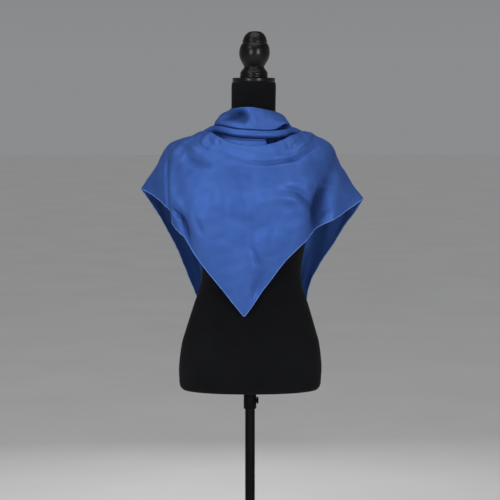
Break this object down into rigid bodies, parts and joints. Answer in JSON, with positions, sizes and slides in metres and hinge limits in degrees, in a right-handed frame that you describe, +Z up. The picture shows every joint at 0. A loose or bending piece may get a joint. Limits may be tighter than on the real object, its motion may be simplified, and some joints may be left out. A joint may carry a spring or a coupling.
{
  "type": "silk square scarf on a dress form",
  "caption": "Plain silk square folded corner to corner, its fold gathered round the neck and its point hanging down the chest of a limbless dress form on a round stand.",
  "frame": {"origin": "centre of the stand base's underside, on the floor", "axes": "+Z up along the pole, the form faces -Y so the scarf's point hangs on the -Y side, +X is to the right of someone who looks at the front"},
  "size_m": [0.515, 0.4, 1.6249],
  "materials": {
    "blue_silk": "satin",
    "form_cover": "matte",
    "turned_wood": "gloss",
    "stand_metal": "satin",
    "collar_plastic": "matte"
  },
  "bodies": {
    "stand": {"stand_base": "stand_metal", "pole": "stand_metal"},
    "bust": {"torso": "form_cover", "collar": "collar_plastic", "thumb_screw": "collar_plastic", "neck_cap_plate": "turned_wood", "finial": "turned_wood", "scarf_neck_band": "blue_silk", "scarf_middle_roll": "blue_silk", "scarf_under_roll": "blue_silk", "scarf_front_panel": "blue_silk", "scarf_left_end": "blue_silk", "scarf_right_end": "blue_silk"}
  },
  "joints": [
    {"name": "height_slide", "type": "slide", "parent": "stand", "child": "bust", "axis": [0, 0, 1], "range_m": [-0.15, 0.1]}
  ]
}
